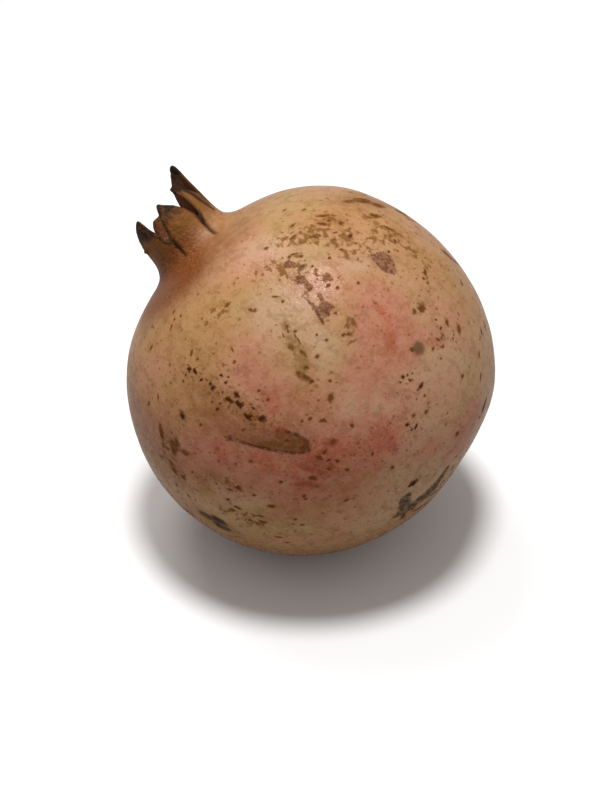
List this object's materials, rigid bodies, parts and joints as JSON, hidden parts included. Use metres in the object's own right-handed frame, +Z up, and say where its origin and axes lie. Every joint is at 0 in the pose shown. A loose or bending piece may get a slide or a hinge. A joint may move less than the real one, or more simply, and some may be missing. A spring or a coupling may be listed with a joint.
{
  "type": "pomegranate",
  "caption": "Whole ripe pomegranate with a crown of dry sepals, lying tilted on a small flat spot of its rind.",
  "frame": {"origin": "on the flat resting spot, in its middle and below the centre of mass", "axes": "+Z up from the surface the fruit lies on; the crown points up towards -X and a little towards +Y"},
  "size_m": [0.0924, 0.0924, 0.0917],
  "materials": {
    "rind": "smooth waxy rind, yellow-tan with pink blush and brown russet specks",
    "dry_stalk": "rough dry cut stalk",
    "dry_flower": "matte dried flower parts"
  },
  "bodies": {
    "root": {"fruit": "rind", "stalk_stub": "dry_stalk", "style": "dry_flower", "stamen_01": "dry_flower", "stamen_02": "dry_flower", "stamen_03": "dry_flower", "stamen_04": "dry_flower", "stamen_05": "dry_flower", "stamen_06": "dry_flower", "stamen_07": "dry_flower", "stamen_08": "dry_flower", "stamen_09": "dry_flower", "stamen_10": "dry_flower", "stamen_11": "dry_flower", "stamen_12": "dry_flower", "stamen_13": "dry_flower", "stamen_14": "dry_flower", "stamen_15": "dry_flower", "stamen_16": "dry_flower", "stamen_17": "dry_flower", "stamen_18": "dry_flower", "stamen_19": "dry_flower", "stamen_20": "dry_flower", "stamen_21": "dry_flower", "stamen_22": "dry_flower", "stamen_23": "dry_flower", "stamen_24": "dry_flower"}
  },
  "joints": []
}
